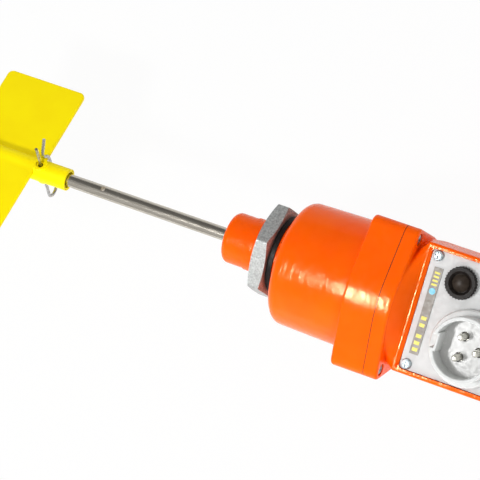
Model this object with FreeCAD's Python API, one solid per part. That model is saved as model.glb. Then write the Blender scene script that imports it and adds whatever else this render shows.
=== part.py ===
import FreeCAD, Part
import math
import os

# Rotary paddle level switch, in millimetres.
# X runs along the shaft from the paddle to the terminal box, and Z is the panel's outward normal.
# The origin is on the shaft's axis, on the shoulder that seals against the vessel's wall.

V = FreeCAD.Vector
X = V(1, 0, 0)
Y = V(0, 1, 0)
Z = V(0, 0, 1)
ORIGIN = V(0, 0, 0)

# General clearances
touch_gap = 0.05
running_gap = 0.04
moving_gap = 0.4
cut_over = 1.0
near = 1e-4
thread_runout = 1.0

# Cross recess and dome of a pan head, as shares of its radius and height
recess_reach = 0.55
recess_half_width = 0.12
recess_depth = 0.55
head_side = 0.4
head_shoulder = 0.78
head_shoulder_reach = 0.86
head_crown = 0.93
head_crown_reach = 0.55

# Neck, shoulder and nose of the front casting
thread_r = 23.9
thread_length = 17.5
shoulder_r = 27.5
shoulder_length = 5.0
collar_r = 19.9
collar_length = 10.5
nose_r = 19.2
nose_length = 18.0
nose_round = 4.5

# Drum of the front casting, a little off the shaft's axis
drum_offset = -2.5
drum_front_r = 46.2
drum_rear_r = 47.8
drum_length = 59.3
drum_round = 8.0
drum_wall = 5.0
front_wall = 5.5

# Flange with three ears
flange_core_r = 50.3
ear_r = 7.8
ear_circle_r = 56.3
ear_first = 60.0
ear_count = 3
front_flange_length = 25.6
rear_flange_length = 10.5
flange_edge_round = 2.0
flange_gasket_thick = 0.5
flange_screw_r = 2.5
flange_screw_head_r = 4.25
flange_screw_head_height = 4.0
flange_screw_bite = 14.0

# Lock nut and sealing ring
sealing_ring_r = 29.0
sealing_ring_thick = 4.0
sealing_ring_round = 1.2
nut_across_flats = 64.0
nut_thick = 11.4
nut_chamfer = 1.6
nut_corner_round = 2.5
nut_turn = 15.0

# Shaft, its seal and its bushings
shaft_r = 5.0
shaft_inner_end = 34.0
shaft_chamfer = 0.8
seal_r = 11.0
seal_width = 7.0
seal_lip_width = 2.5
seal_hollow_r = 8.0
seal_to_bushing = 2.0
bushing_r = 8.0
front_bushing_length = 16.0
rear_bushing_length = 14.0
bushing_flange_r = 11.0
bushing_flange_thick = 2.0
shaft_tunnel_r = 6.5
ring_groove_depth = 0.7
ring_width = 1.2
ring_reach = 2.6
ring_mouth = 50.0

# Paddle and its clip
hub_r = 8.4
hub_front_end = -182.0
hub_back_margin = 2.0
hub_mouth_r = 6.3
hub_mouth_depth = 4.0
shaft_tip_recess = 8.0
blade_reach = 77.5
blade_width = 66.5
blade_thick = 4.0
blade_corner = 4.5
blade_edge_round = 1.2
blade_offset = 5.0
blade_root_round = 2.5
blade_flow_round = 10.0
blade_turn = 127.7
clip_from_hub_end = 22.7
clip_to_blade = 3.7
clip_hole_r = 2.0
clip_mouth_r = 3.4
clip_mouth_depth = 1.6
clip_boss_r = 5.2
clip_boss_height = 1.2
spare_hole_from_clip = 52.5
clip_wire_r = 1.2
clip_leg_out = 28.5
clip_leg_back = 31.5
clip_head_r = 5.8
clip_hug_angle = 50.0
clip_flare_r = 6.0
clip_flare_angle = 30.0
clip_tip_length = 11.0

# Coupling, swivelling motor and its bridge
coupling_r = 9.0
coupling_start = 20.0
coupling_pin_r = 1.5
coupling_pin_place = 27.0
motor_shaft_r = 3.0
motor_shaft_bite = 8.0
bridge_start = 46.0
bridge_thick = 3.0
bridge_r = 38.0
lug_circle_r = 34.5
lug_r = 5.0
lug_count = 3
bridge_screw_r = 2.0
bridge_screw_head_r = 3.5
bridge_screw_head_height = 2.6
bridge_screw_bite = 10.0
carrier_gap = 1.0
carrier_thick = 2.5
carrier_r = 25.0
carrier_hub_r = 12.0
carrier_bore_r = 4.0
carrier_hub_overhang = 2.4
swivel_ring_width = 1.2
swivel_ring_r = 14.2
swivel_groove_depth = 1.2
gearbox_r = 24.0
gearbox_length = 11.5
motor_r = 20.0
motor_length = 20.0
motor_bevel = 1.5
motor_screw_r = 1.8
motor_screw_head_r = 3.6
motor_screw_circle_r = 17.0
motor_screw_length = 9.0

# Swing stops, finger and return spring
finger_angle = 60.0
finger_reach = 34.0
finger_half_width = 3.0
swing_angle = 12.0
stop_circle_r = 31.0
stop_pin_r = 1.5
stop_pin_height = 4.5
spring_post_r = 1.2
spring_post_height = 5.0
spring_anchor_angle = 16.0
spring_body_r = 2.4
spring_wire_r = 0.4
spring_turns = 12

# Switches worked by the carrier's rim
switch_length = 19.8
switch_height = 10.2
switch_thick = 6.4
switch_to_rim = 2.0
switch_plunger_r = 1.0
switch_plunger_clear = 0.8
switch_screw_r = 1.1
switch_screw_head_r = 1.9
switch_screw_head_height = 1.4
switch_screw_spacing = 9.5
switch_screw_rise = 0.7
switch_angles = {"signal_switch": 180.0, "stop_switch": 300.0}

# Box of the rear casting
neck_length = 8.6
passage_r = 28.0
passage_drop = 8.0
screw_pocket_reach = 4.0
rim_top = 32.0
rim_round = 1.8
rim_width = 3.5
rim_crest = 0.8
box_half_top = 48.2
box_lean = 1.0
box_end_round = 7.0
panel_length = 90.0
panel_corner = 3.0
panel_fit = 0.25
panel_thick = 2.5
panel_below_rim = 2.0
panel_gasket_thick = 1.0
panel_ledge = 3.75
panel_edge_break = 0.5
panel_screw_inset_x = 5.0
panel_screw_inset_y = 4.2
panel_screw_r = 2.0
panel_screw_head_r = 4.0
panel_screw_head_height = 2.6
panel_screw_bite = 9.0
panel_boss_r = 5.0
panel_boss_length = 14.0

# Label strip
label_from_edge = 7.9
label_width = 6.7
label_length = 64.5
label_thick = 0.5

# Appliance inlet
inlet_from_edge = 45.0
inlet_y = -15.5
inlet_base_r = 28.0
inlet_base_height = 3.6
inlet_base_bevel = 1.1
inlet_gasket_thick = 1.0
inlet_gasket_margin = 0.8
inlet_bore_r = 20.7
inlet_neck_r = 22.4
inlet_neck_length = 16.0
shroud_r = 23.5
shroud_height = 13.4
shroud_bevel = 0.5
key_notch_width = 9.4
key_wall = 2.1
key_face_reach = 20.0
insulator_height = 9.0
insulator_face = 1.0
pin_r = 2.5
pin_shoulder_r = 3.0
pin_circle_r = 8.85
pin_stand = 11.0
pin_tail = 8.0
pin_tip_side = 1.6
pin_tip_bend = 0.7
pin_tip_bend_r = 2.1
pin_tip_crown = 0.2
pin_tip_crown_r = 1.2
pin_well_r = 3.6
pin_well_depth = 6.0
pin_count = 3
ring_nut_r = 25.0
ring_nut_height = 6.0
ring_nut_notch = 4.0
ring_nut_notch_depth = 1.8
ring_nut_notches = 6

# Push button
button_from_edge = 26.9
button_y = 27.3
bezel_r = 11.9
bezel_bevel = 0.7
bezel_height = 5.0
bezel_lip_r = 6.85
bezel_lip_height = 2.6
bezel_land = 0.6
bezel_throat_r = 8.6
knurl_count = 32
knurl_depth = 0.9
button_thread_r = 9.4
button_body_depth = 19.0
button_body_floor = 4.0
button_flange_r = 12.0
button_flange_height = 3.0
button_bore_r = 7.0
cap_dome_r = 6.4
cap_skirt_height = 8.0
cap_dome_rise = 1.8
cap_dome_sink = 2.0
button_spring_r = 4.4
button_spring_wire_r = 0.45
button_spring_turns = 4
button_tab_width = 4.8
button_tab_thick = 0.8
button_tab_length = 8.0
button_tab_spacing = 8.0

# Terminal block on the box's floor
terminal_x_from_edge = 45.0
terminal_length = 40.0
terminal_width = 16.0
terminal_height = 14.0
terminal_pad_top = -34.0
terminal_screw_r = 1.6
terminal_screw_head_r = 2.6
terminal_screw_head_height = 1.8
terminal_screw_bite = 6.0
terminal_count = 4
terminal_pitch = 9.0
terminal_way_height = 4.2
terminal_way_depth = 4.8

# Places that follow from the sizes above
thread_end = -thread_length
collar_end = thread_end - collar_length
nose_end = collar_end - nose_length
drum_start = shoulder_length
drum_end = drum_start + drum_length
parting = drum_end + front_flange_length
rear_flange_start = parting + flange_gasket_thick
rear_flange_end = rear_flange_start + rear_flange_length
cavity_start = drum_start + front_wall
cavity_r = drum_front_r - drum_wall
box_start = rear_flange_end + neck_length
box_half_mid = box_half_top - box_lean
panel_half_width = box_half_top - rim_width
cavity_half = panel_half_width - panel_ledge
neck_r = flange_core_r - flange_edge_round
flange_seat = rear_flange_end - flange_screw_head_height
panel_start = box_start + rim_width
panel_end = panel_start + panel_length
box_end = panel_end + rim_width
panel_top = rim_top - panel_below_rim
panel_back = panel_top - panel_thick
ledge_top = panel_back - panel_gasket_thick
clip_place = hub_front_end - clip_from_hub_end
blade_start = clip_place - clip_to_blade
blade_end = blade_start - blade_width
hub_back_end = blade_end - hub_back_margin
clip_turn = blade_turn - 90.0
inlet_x = panel_start + inlet_from_edge
inlet_base_bottom = panel_top + inlet_gasket_thick
inlet_base_top = inlet_base_bottom + inlet_base_height
shroud_top = inlet_base_top + shroud_height
insulator_top = inlet_base_bottom + insulator_face
insulator_bottom = insulator_top - insulator_height
button_x = panel_start + button_from_edge
bridge_end = bridge_start + bridge_thick
carrier_start = bridge_end + carrier_gap
carrier_end = carrier_start + carrier_thick
carrier_hub_start = bridge_start - carrier_hub_overhang
gearbox_end = carrier_end + gearbox_length
coupling_end = carrier_hub_start - moving_gap
nut_end = -sealing_ring_thick - moving_gap
nut_start = nut_end - nut_thick


def rod(radius, start, end, y=0.0, z=0.0):
    """A cylinder along X."""
    return Part.makeCylinder(radius, end - start, V(start, y, z), X)


def post(radius, bottom, top, x, y):
    """A cylinder along Z."""
    return Part.makeCylinder(radius, top - bottom, V(x, y, bottom), Z)


def slab(x0, x1, y0, y1, z0, z1):
    """A box between two corners."""
    return Part.makeBox(x1 - x0, y1 - y0, z1 - z0, V(x0, y0, z0))


def around(radius, angle, x=0.0, y=0.0):
    """A point on a circle about the X direction, with the angle from +Z towards +Y."""
    turn = math.radians(angle)
    return V(x, y + radius * math.sin(turn), radius * math.cos(turn))


def turned(profile, centre=ORIGIN, axis=X):
    """A solid of revolution from (place along the axis, radius) corners."""
    across = Z if axis == X else X
    corners = [centre + axis * along + across * radius for along, radius in profile]
    face = Part.Face(Part.makePolygon(corners + corners[:1]))
    return face.revolve(centre, axis, 360)


def ring_edges(shape, axis, along, radius):
    """The circular edges of a shape at one place and radius."""
    found = []
    for edge in shape.Edges:
        if not isinstance(edge.Curve, Part.Circle):
            continue
        place = edge.Curve.Center.dot(axis)
        if abs(place - along) < near and abs(edge.Curve.Radius - radius) < near:
            found.append(edge)
    return found


def rounded_slab(x0, x1, y0, y1, z0, z1, corner):
    """A box whose upright edges are rounded."""
    block = slab(x0, x1, y0, y1, z0, z1)
    upright = [e for e in block.Edges if abs(e.tangentAt(e.FirstParameter).z) > 0.9]
    return block.makeFillet(corner, upright)


def save(shape, node):
    """Write one sub-part, in its place."""
    shape.exportStep("parts/" + node + ".step")


def pan_screw(shank_r, head_r, head_height, length, crossed=False):
    """A pan screw with its seat at z = 0, head above and shank below, with a cross recess if asked."""
    profile = [(-length, 0), (-length, shank_r), (0, shank_r), (0, head_r)]
    if not crossed:
        return turned(profile + [(head_height, head_r), (head_height, 0)], ORIGIN, Z)
    profile += [(head_height * head_side, head_r),
                (head_height * head_shoulder, head_r * head_shoulder_reach),
                (head_height * head_crown, head_r * head_crown_reach), (head_height, 0)]
    screw = turned(profile, ORIGIN, Z)
    arm = head_r * recess_reach
    slot = head_r * recess_half_width
    floor = head_height * (1 - recess_depth)
    return screw.cut([slab(-arm, arm, -slot, slot, floor, head_height),
                      slab(-slot, slot, -arm, arm, floor, head_height)])


def along_x(shape, place, facing=1):
    """Stand a shape made along Z so that it points along X at a place."""
    copy = shape.copy()
    copy.rotate(ORIGIN, Y, 90 * facing)
    copy.translate(place)
    return copy


def ear_angles():
    """The directions of the flange's ears."""
    return [ear_first + index * 360.0 / ear_count for index in range(ear_count)]


def flange_outline(x):
    """A round core drawn out to the ears by tangent lines, as a face across X."""
    reach = math.degrees(math.acos((flange_core_r - ear_r) / ear_circle_r))
    step = 360.0 / ear_count

    def core(angle):
        return around(flange_core_r, angle, x, drum_offset)

    edges = []
    for angle in ear_angles():
        centre = around(ear_circle_r, angle, 0.0, 0.0)

        def ear(turn):
            return centre + around(ear_r, turn, x, drum_offset)

        edges.append(Part.makeLine(core(angle - reach), ear(angle - reach)))
        edges.append(Part.Arc(ear(angle - reach), ear(angle), ear(angle + reach)).toShape())
        edges.append(Part.makeLine(ear(angle + reach), core(angle + reach)))
        rest = [core(angle + reach), core(angle + step / 2), core(angle + step - reach)]
        edges.append(Part.Arc(*rest).toShape())
    return Part.Face(Part.Wire(edges))


def flange_plate(start, end, rounded_at=None):
    """The flange's outline drawn along X, with one rim rounded if asked."""
    plate = flange_outline(start).extrude(X * (end - start))
    if rounded_at is None:
        return plate
    rim = [e for e in plate.Edges if abs(e.BoundBox.XMin - rounded_at) < near and e.BoundBox.XLength < near]
    return plate.makeFillet(flange_edge_round, rim)


def ear_places(x):
    """The flange screws' centres."""
    return [around(ear_circle_r, angle, x, drum_offset) for angle in ear_angles()]


def lug_places(x):
    """The centres of the lugs that carry the bridge."""
    return [around(lug_circle_r, index * 360.0 / lug_count, x) for index in range(lug_count)]


def make_front_housing():
    """Nose, collar, threaded neck, shoulder, drum and flange as one casting."""
    stem = turned([(nose_end, 0), (nose_end, nose_r), (collar_end, nose_r), (collar_end, collar_r),
                   (thread_end, collar_r), (thread_end, thread_r), (0, thread_r), (0, shoulder_r),
                   (cavity_start, shoulder_r), (cavity_start, 0)])
    stem = stem.makeFillet(nose_round, ring_edges(stem, X, nose_end, nose_r))
    centre = V(0, drum_offset, 0)
    drum = turned([(drum_start, 0), (drum_start, drum_front_r), (drum_end, drum_rear_r), (drum_end, 0)],
                  centre)
    drum = drum.makeFillet(drum_round, ring_edges(drum, X, drum_start, drum_front_r))
    casting = stem.fuse([drum, flange_plate(drum_end, parting, drum_end)]).removeSplitter()

    casting = casting.cut(rod(cavity_r, cavity_start, parting, drum_offset))
    lugs = [rod(lug_r, cavity_start - front_wall / 2, bridge_start, p.y, p.z) for p in lug_places(0)]
    casting = casting.fuse(lugs)
    tap = [rod(bridge_screw_r + touch_gap, bridge_start - bridge_screw_bite, bridge_start, p.y, p.z)
           for p in lug_places(0)]
    tap += [rod(flange_screw_r + touch_gap, parting - flange_screw_bite, parting, p.y, p.z)
            for p in ear_places(0)]
    front_pocket = nose_end + seal_width + seal_to_bushing
    tunnel = [rod(shaft_tunnel_r, nose_end, cavity_start),
              rod(seal_r, nose_end, nose_end + seal_width),
              rod(bushing_r, front_pocket, front_pocket + front_bushing_length),
              rod(bushing_r, cavity_start - rear_bushing_length, cavity_start)]
    return casting.cut(tap + tunnel).removeSplitter()


def make_sealing_ring():
    """Flat rubber ring on the neck, against the shoulder."""
    bore = thread_r + touch_gap
    ring = rod(sealing_ring_r, -sealing_ring_thick, 0).cut(rod(bore, -sealing_ring_thick, 0))
    return ring.makeFillet(sealing_ring_round, ring_edges(ring, X, -sealing_ring_thick, sealing_ring_r))


def make_lock_nut():
    """Hexagon nut with rounded corners and turned-off rims, running on the neck."""
    corner_r = nut_across_flats / math.sqrt(3)
    corners = [around(corner_r, nut_turn + 60 * index, nut_start) for index in range(6)]
    block = Part.Face(Part.makePolygon(corners + corners[:1])).extrude(X * nut_thick)
    ridges = [e for e in block.Edges if e.BoundBox.XLength > nut_thick / 2]
    block = block.makeFillet(nut_corner_round, ridges)
    rim_r = corner_r
    cut_r = nut_across_flats / 2
    lathe = turned([(nut_start, 0), (nut_start, cut_r), (nut_start + nut_chamfer, rim_r),
                    (nut_end - nut_chamfer, rim_r), (nut_end, cut_r), (nut_end, 0)])
    bore = rod(thread_r + running_gap, nut_start, nut_end)
    mouth_end = nut_start + nut_chamfer
    mouth = turned([(nut_start, 0), (nut_start, thread_r + nut_chamfer), (mouth_end, thread_r),
                    (mouth_end, 0)])
    return block.common(lathe).cut([bore, mouth])


def make_shaft_seal():
    """Rubber lip seal in the nose, hollow at its back."""
    inner_r = shaft_r + running_gap
    return turned([(nose_end, inner_r), (nose_end, seal_r), (nose_end + seal_width, seal_r),
                   (nose_end + seal_width, seal_hollow_r), (nose_end + seal_lip_width, seal_hollow_r),
                   (nose_end + seal_lip_width, inner_r)])


def make_front_bushing():
    """Plain bronze bushing in the nose."""
    start = nose_end + seal_width + seal_to_bushing
    end = start + front_bushing_length
    return rod(bushing_r, start, end).cut(rod(shaft_r + running_gap, start, end))


def make_rear_bushing():
    """Flanged bronze bushing in the drum's front wall."""
    start = cavity_start - rear_bushing_length
    end = cavity_start + bushing_flange_thick
    body = rod(bushing_r, start, end).fuse(rod(bushing_flange_r, cavity_start, end))
    return body.removeSplitter().cut(rod(shaft_r + running_gap, start, end))


def ring_groove():
    """Where the shaft's retaining ring sits."""
    start = cavity_start + bushing_flange_thick + moving_gap
    return start, start + ring_width


def cross_drill(radius, x, angle, length):
    """A cylinder across the shaft's axis, both ways."""
    way = around(1.0, angle)
    return Part.makeCylinder(radius, 2 * length, V(x, 0, 0) - way * length, way)


def make_shaft():
    """Round shaft with cross holes for the clip, a ring groove and a pin hole."""
    tip = hub_back_end + shaft_tip_recess
    shaft = turned([(tip, 0), (tip, shaft_r - shaft_chamfer), (tip + shaft_chamfer, shaft_r),
                    (shaft_inner_end - shaft_chamfer, shaft_r), (shaft_inner_end, shaft_r - shaft_chamfer),
                    (shaft_inner_end, 0)])
    start, end = ring_groove()
    groove = rod(shaft_r + cut_over, start, end).cut(rod(shaft_r - ring_groove_depth, start, end))
    holes = [cross_drill(clip_hole_r, clip_place, clip_turn, hub_r),
             cross_drill(clip_hole_r, clip_place + spare_hole_from_clip, clip_turn, hub_r),
             cross_drill(coupling_pin_r, coupling_pin_place, 0, coupling_r)]
    return shaft.cut([groove] + holes)


def make_retaining_ring():
    """Open ring in the shaft's groove."""
    start, end = ring_groove()
    inner_r = shaft_r - ring_groove_depth + touch_gap
    ring = rod(shaft_r + ring_reach, start, end).cut(rod(inner_r, start, end))
    half = shaft_r * math.tan(math.radians(ring_mouth / 2))
    return ring.cut(slab(start, end, -half, half, 0, shaft_r + 2 * ring_reach))


def blade_web(face, radius, side):
    """The fillet between the hub and one face of the lower blade, on the side that the face looks to."""
    middle_y = face + side * radius
    middle_z = -math.sqrt((hub_r + radius) ** 2 - middle_y ** 2)
    touch_y = middle_y * hub_r / (hub_r + radius)
    low = min(touch_y, face)
    high = max(touch_y, face)
    web = slab(blade_end + blade_edge_round, blade_start - blade_edge_round, low, high, middle_z, 0)
    return web.cut(rod(radius, blade_end, blade_start, middle_y, middle_z))


def make_blade():
    """The lower blade, set off to the viewer's side of the axis so that its face flows out of the hub."""
    inner = blade_thick / 2 - blade_offset
    outer = -blade_thick / 2 - blade_offset
    blade = slab(blade_end, blade_start, outer, inner, -blade_reach, 0)
    corners = [e for e in blade.Edges if e.BoundBox.YLength > blade_thick / 2 and e.BoundBox.ZMax < -hub_r]
    blade = blade.makeFillet(blade_corner, corners)
    rims = [e for e in blade.Edges if e.BoundBox.YLength < near and e.BoundBox.ZMin < -hub_r]
    blade = blade.makeFillet(blade_edge_round, rims)
    return blade.fuse([blade_web(inner, blade_root_round, 1), blade_web(outer, blade_flow_round, -1)])


def make_paddle():
    """Hub tube with two blades on opposite sides, drawn upright and then turned to its rest angle."""
    lower = make_blade()
    upper = lower.copy()
    upper.rotate(ORIGIN, X, 180)
    paddle = rod(hub_r, hub_back_end, hub_front_end).fuse([lower, upper])
    boss_top = hub_r + clip_boss_height
    boss = Part.makeCylinder(clip_boss_r, 2 * boss_top, V(clip_place, -boss_top, 0), Y)
    paddle = paddle.fuse(boss)
    mouth = Part.makeCylinder(clip_mouth_r, 2 * boss_top, V(clip_place, -boss_top, 0), Y)
    floor = boss_top - clip_mouth_depth
    mouth = mouth.cut(slab(clip_place - hub_r, clip_place + hub_r, -floor, floor, -hub_r, hub_r))
    drill = Part.makeCylinder(clip_hole_r, 4 * hub_r, V(clip_place, -2 * hub_r, 0), Y)
    bore = rod(shaft_r + touch_gap, hub_back_end, hub_front_end)
    wide_mouth = rod(hub_mouth_r, hub_front_end - hub_mouth_depth, hub_front_end)
    paddle = paddle.cut([bore, wide_mouth, mouth, drill]).removeSplitter()
    paddle.rotate(ORIGIN, X, -blade_turn)
    return paddle


def make_spring_clip():
    """Round wire: a straight leg through the shaft, a head bend and a leg that hugs the hub."""
    along = around(1.0, clip_turn)
    beside = around(1.0, clip_turn + 90)
    middle = V(clip_place, 0, 0)

    def at(t, q):
        return middle + along * t + beside * q

    def on_arc(centre_t, centre_q, radius, angle):
        turn = math.radians(angle)
        return at(centre_t + radius * math.sin(turn), centre_q + radius * math.cos(turn))

    hug_r = 2 * clip_head_r
    flare_t = (hug_r + clip_flare_r) * math.sin(math.radians(clip_hug_angle))
    flare_q = (hug_r + clip_flare_r) * math.cos(math.radians(clip_hug_angle))
    flare_start = clip_hug_angle + 180
    flare_end = 180 - clip_flare_angle
    flare_stop = on_arc(flare_t, flare_q, clip_flare_r, flare_end)
    tip_turn = math.radians(clip_flare_angle)
    tip = flare_stop + (along * math.cos(tip_turn) + beside * math.sin(tip_turn)) * clip_tip_length
    edges = [
        Part.makeLine(at(clip_leg_out, 0), at(-clip_leg_back, 0)),
        Part.Arc(at(-clip_leg_back, 0), at(-clip_leg_back - clip_head_r, clip_head_r),
                 at(-clip_leg_back, hug_r)).toShape(),
        Part.makeLine(at(-clip_leg_back, hug_r), at(0, hug_r)),
        Part.Arc(at(0, hug_r), on_arc(0, 0, hug_r, clip_hug_angle / 2),
                 on_arc(0, 0, hug_r, clip_hug_angle)).toShape(),
        Part.Arc(on_arc(flare_t, flare_q, clip_flare_r, flare_start),
                 on_arc(flare_t, flare_q, clip_flare_r, (flare_start + flare_end) / 2), flare_stop).toShape(),
        Part.makeLine(flare_stop, tip),
    ]
    path = Part.Wire(edges)
    section = Part.Wire(Part.makeCircle(clip_wire_r, at(clip_leg_out, 0), -along))
    return path.makePipeShell([section], True, False)


def make_coupling_sleeve():
    """Sleeve that joins the shaft to the motor's output shaft."""
    step = shaft_inner_end + moving_gap
    body = rod(coupling_r, coupling_start, coupling_end)
    return body.cut([rod(shaft_r + touch_gap, coupling_start, step),
                     rod(motor_shaft_r + touch_gap, step, coupling_end),
                     cross_drill(coupling_pin_r, coupling_pin_place, 0, coupling_r + cut_over)])


def make_coupling_pin():
    """Cross pin through the sleeve and the shaft."""
    return cross_drill(coupling_pin_r - touch_gap, coupling_pin_place, 0, coupling_r)


def make_motor_shaft():
    """Output shaft of the geared motor, seated in the coupling."""
    return rod(motor_shaft_r, shaft_inner_end + 2 * moving_gap, carrier_end + motor_shaft_bite)


def spring_anchor(x):
    """Where the return spring hooks on the bridge."""
    return around(stop_circle_r, spring_anchor_angle, x)


def spring_hook(x):
    """Where the return spring hooks on the carrier's finger."""
    return around(stop_circle_r, finger_angle, x)


def make_bridge_plate():
    """Round plate that bears the swivelling carrier, with the spring's anchor post."""
    plate = rod(bridge_r, bridge_start, bridge_end)
    anchor = spring_anchor(0)
    top = carrier_end + spring_post_height
    plate = plate.fuse(rod(spring_post_r, bridge_end, top, anchor.y, anchor.z))
    holes = [rod(carrier_hub_r + running_gap, bridge_start, bridge_end)]
    holes += [rod(bridge_screw_r + touch_gap, bridge_start, bridge_end, p.y, p.z) for p in lug_places(0)]
    holes += [rod(stop_pin_r, bridge_start, bridge_end, p.y, p.z) for p in stop_places()]
    for angle in switch_angles.values():
        holes += [rod(switch_screw_r, bridge_start, bridge_end, p.y, p.z) for p in switch_screw_places(angle)]
    return plate.cut(holes).removeSplitter()


def make_bridge_screws():
    """Pan screws that hold the bridge on the lugs."""
    length = bridge_thick + bridge_screw_bite - thread_runout
    screw = pan_screw(bridge_screw_r, bridge_screw_head_r, bridge_screw_head_height, length)
    return Part.makeCompound([along_x(screw, p) for p in lug_places(bridge_end)])


def stop_places():
    """The stop pins' centres, either side of the finger's swing."""
    half = math.degrees(math.asin((finger_half_width + stop_pin_r + moving_gap) / stop_circle_r))
    turns = (finger_angle - half, finger_angle + swing_angle + half)
    return [around(stop_circle_r, turn) for turn in turns]


def make_stop_pins():
    """Two pins that end the motor's swing."""
    top = bridge_end + stop_pin_height
    radius = stop_pin_r - touch_gap
    return Part.makeCompound([rod(radius, bridge_start, top, p.y, p.z) for p in stop_places()])


def make_swivel_carrier():
    """Disc with a hub that turns in the bridge and a finger between the stops."""
    disc = rod(carrier_r, carrier_start, carrier_end)
    hub = rod(carrier_hub_r, carrier_hub_start, carrier_start)
    finger = slab(carrier_start, carrier_end, -finger_half_width, finger_half_width, 0, finger_reach)
    finger.rotate(ORIGIN, X, -finger_angle)
    hook = spring_hook(0)
    hook_post = rod(spring_post_r, carrier_end, carrier_end + spring_post_height, hook.y, hook.z)
    carrier = disc.fuse([hub, finger, hook_post])
    groove_start, groove_end = swivel_groove()
    groove = rod(carrier_hub_r + cut_over, groove_start, groove_end)
    groove = groove.cut(rod(carrier_hub_r - swivel_groove_depth, groove_start, groove_end))
    sinks = [motor_screw_shape(p, touch_gap) for p in motor_screw_places()]
    return carrier.cut([groove, rod(carrier_bore_r, carrier_hub_start, carrier_end)] + sinks).removeSplitter()


def swivel_groove():
    """Where the ring that keeps the carrier's hub in the bridge sits."""
    end = bridge_start - moving_gap
    return end - swivel_ring_width, end


def make_swivel_ring():
    """Open ring in the carrier hub's groove."""
    start, end = swivel_groove()
    inner_r = carrier_hub_r - swivel_groove_depth + touch_gap
    ring = rod(swivel_ring_r, start, end).cut(rod(inner_r, start, end))
    half = carrier_hub_r * math.tan(math.radians(ring_mouth / 4))
    return ring.cut(slab(start, end, -half, half, 0, 2 * swivel_ring_r))


def motor_screw_places():
    """Two countersunk screws through the carrier."""
    return [around(motor_screw_circle_r, angle) for angle in (90.0, 270.0)]


def motor_screw_shape(place, grow=0.0):
    """A countersunk screw from the carrier's front face into the gearbox."""
    sink = motor_screw_head_r - motor_screw_r
    tip = carrier_start + motor_screw_length
    profile = [(carrier_start, 0), (carrier_start, motor_screw_head_r + grow),
               (carrier_start + sink, motor_screw_r + grow), (tip, motor_screw_r + grow), (tip, 0)]
    return turned(profile, V(0, place.y, place.z))


def make_motor_screws():
    """The screws that hold the gearbox on the carrier."""
    return Part.makeCompound([motor_screw_shape(p) for p in motor_screw_places()])


def make_gearbox_case():
    """Round gearbox of the motor."""
    case = turned([(carrier_end, 0), (carrier_end, gearbox_r), (gearbox_end - motor_bevel, gearbox_r),
                   (gearbox_end, gearbox_r - motor_bevel), (gearbox_end, 0)])
    sinks = [motor_screw_shape(p, touch_gap) for p in motor_screw_places()]
    bore_end = carrier_end + motor_shaft_bite + moving_gap
    return case.cut([rod(motor_shaft_r + running_gap, carrier_end, bore_end)] + sinks)


def make_motor_can():
    """Motor can behind the gearbox."""
    end = gearbox_end + motor_length
    return turned([(gearbox_end, 0), (gearbox_end, motor_r), (end - motor_bevel, motor_r),
                   (end, motor_r - motor_bevel), (end, 0)])


def wound_profile(turns, pitch, outer, wire):
    """The outline of a wound spring's wall: a straight inside and one ridge for each turn."""
    low = outer - 2 * wire
    corners = [(0, low), (0, outer - wire)]
    for index in range(turns):
        corners.append((index * pitch + pitch / 2, outer))
        corners.append(((index + 1) * pitch, outer - wire))
    return corners + [(turns * pitch, low)]


def wire_eye(place, radius):
    """A spring's end eye, squared in section."""
    low = place.x - spring_wire_r
    high = place.x + spring_wire_r
    ring = rod(radius + spring_wire_r, low, high, place.y, place.z)
    return ring.cut(rod(radius - spring_wire_r, low, high, place.y, place.z))


def make_return_spring():
    """Close-wound tension spring, drawn as its wound outline with an eye at each end."""
    level = carrier_end + spring_post_height / 2
    start = spring_hook(level)
    end = spring_anchor(level)
    way = (end - start).normalize()
    eye_r = spring_post_r + touch_gap + spring_wire_r
    pitch = 2 * spring_wire_r
    span = (end - start).Length
    body_start = (span - pitch * spring_turns) / 2
    base = start + way * body_start
    across = way.cross(X).normalize()
    wall = wound_profile(spring_turns, pitch, spring_body_r, spring_wire_r)
    profile = [(0, 0)] + wall[1:-1] + [(pitch * spring_turns, 0)]
    corners = [base + way * along + across * radius for along, radius in profile]
    body = Part.Face(Part.makePolygon(corners + corners[:1])).revolve(base, way, 360)
    eyes = [wire_eye(place, eye_r) for place in (start, end)]
    neck = body_start - eye_r + spring_wire_r
    necks = [Part.makeCylinder(spring_wire_r, neck, start + way * eye_r, way),
             Part.makeCylinder(spring_wire_r, neck, end - way * eye_r, -way)]
    return body.fuse(eyes + necks)


def switch_frame(angle):
    """Directions of a switch: outward from the axis and along its length."""
    return around(1.0, angle), around(1.0, angle + 90)


def switch_screw_places(angle):
    """Centres of a switch's two screws."""
    out, beside = switch_frame(angle)
    middle = out * (carrier_r + switch_to_rim + switch_height * switch_screw_rise)
    return [middle + beside * side * switch_screw_spacing / 2 for side in (-1, 1)]


def make_switch(angle):
    """Small snap switch flat on the bridge, its plunger facing the carrier's rim."""
    out, beside = switch_frame(angle)
    low = carrier_r + switch_to_rim
    half = switch_length / 2
    body = slab(bridge_end, bridge_end + switch_thick, -half, half, low, low + switch_height)
    tip = carrier_r + switch_plunger_clear
    level = (carrier_start + carrier_end) / 2 + carrier_gap
    plunger = Part.makeCylinder(switch_plunger_r, low - tip, V(level, 0, tip), Z)
    body = body.fuse(plunger)
    body.rotate(ORIGIN, X, -angle)
    return body.cut([rod(switch_screw_r, bridge_end, bridge_end + switch_thick, p.y, p.z)
                     for p in switch_screw_places(angle)])


def make_switch_screws():
    """Small pan screws through both switches into the bridge."""
    length = switch_thick + bridge_thick
    screw = pan_screw(switch_screw_r - touch_gap, switch_screw_head_r, switch_screw_head_height, length)
    top = bridge_end + switch_thick
    placed = []
    for angle in switch_angles.values():
        placed += [along_x(screw, V(top, p.y, p.z)) for p in switch_screw_places(angle)]
    return Part.makeCompound(placed)


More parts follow.
